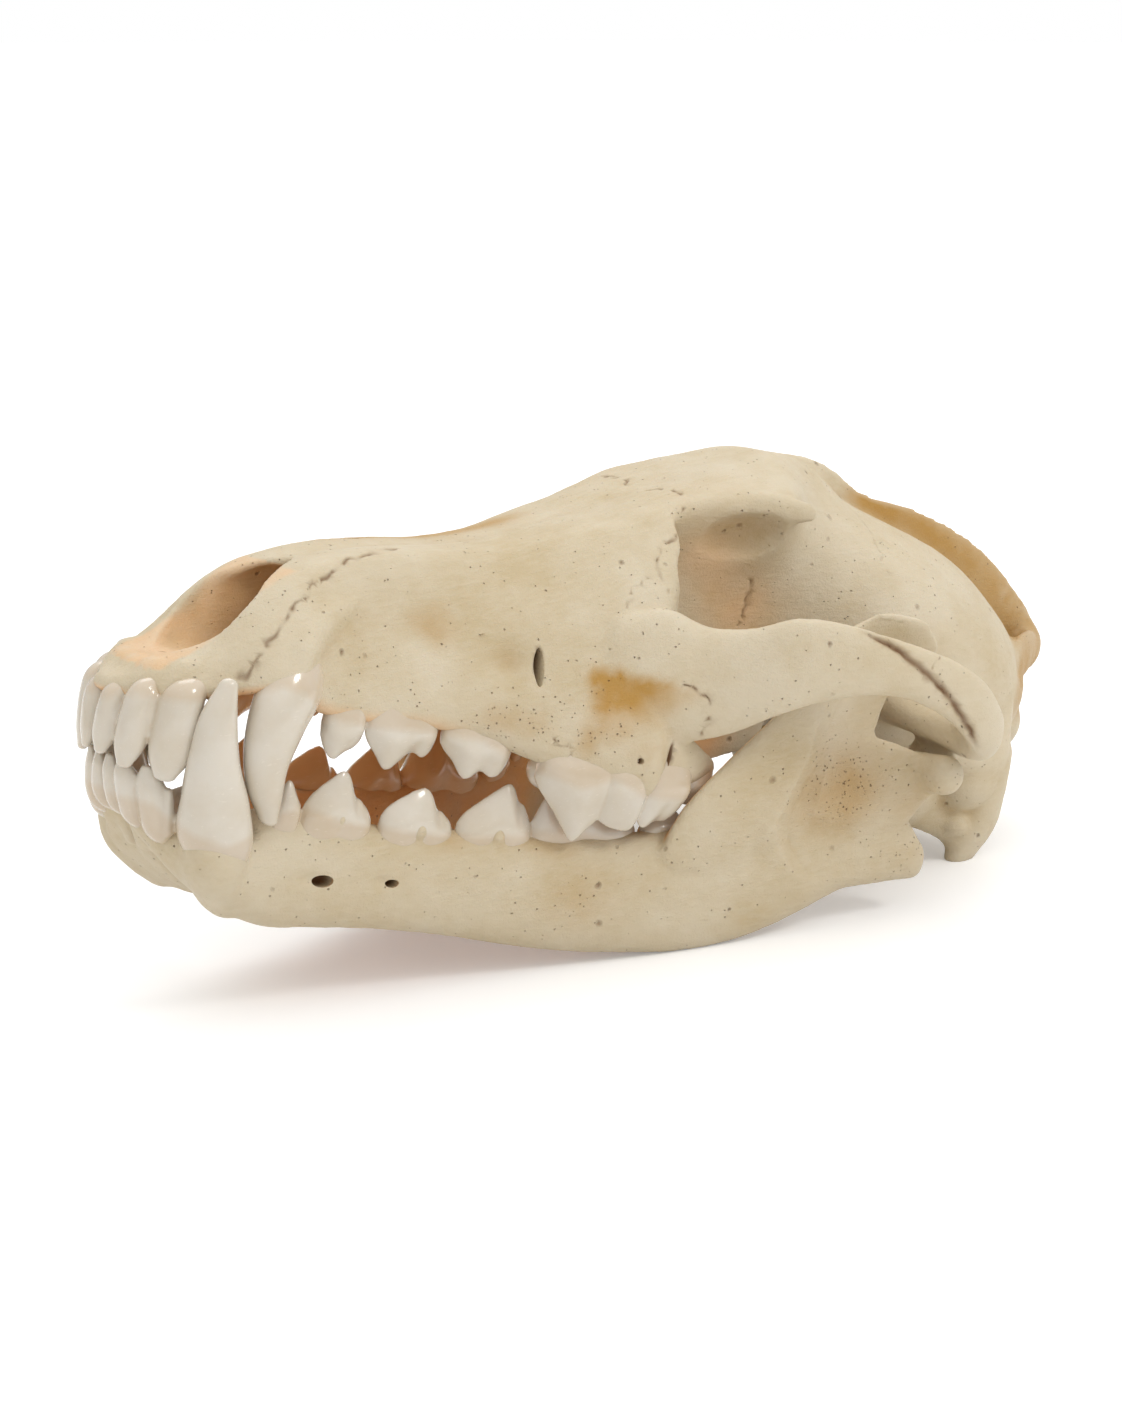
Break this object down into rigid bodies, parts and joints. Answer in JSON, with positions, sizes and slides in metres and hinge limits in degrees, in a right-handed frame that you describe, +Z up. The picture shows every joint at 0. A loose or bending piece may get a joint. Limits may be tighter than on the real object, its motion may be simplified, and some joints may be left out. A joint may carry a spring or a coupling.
{
  "type": "wolf skull",
  "caption": "Wolf cranium with its lower jaw closed and all teeth in place, resting on the jaw and the base of the skull.",
  "frame": {"origin": "on the floor under the middle of the skull's length and width", "axes": "+Z up; the nose points to -X and the back of the skull to +X; the animal's left side faces -Y; the skull lies nose up as it rests"},
  "size_m": [0.2717, 0.1394, 0.1016],
  "materials": {
    "face_bone": "dry cream bone with ivory teeth",
    "braincase_bone": "dry warm bone",
    "cheek_bone": "dry pale bone",
    "jaw_bone": "dry cream bone with ivory teeth"
  },
  "bodies": {
    "root": {"rostrum": "face_bone", "braincase": "braincase_bone", "zygomatic_arch_left": "cheek_bone", "zygomatic_arch_right": "cheek_bone", "mandible_left": "jaw_bone", "mandible_right": "jaw_bone"}
  },
  "joints": []
}
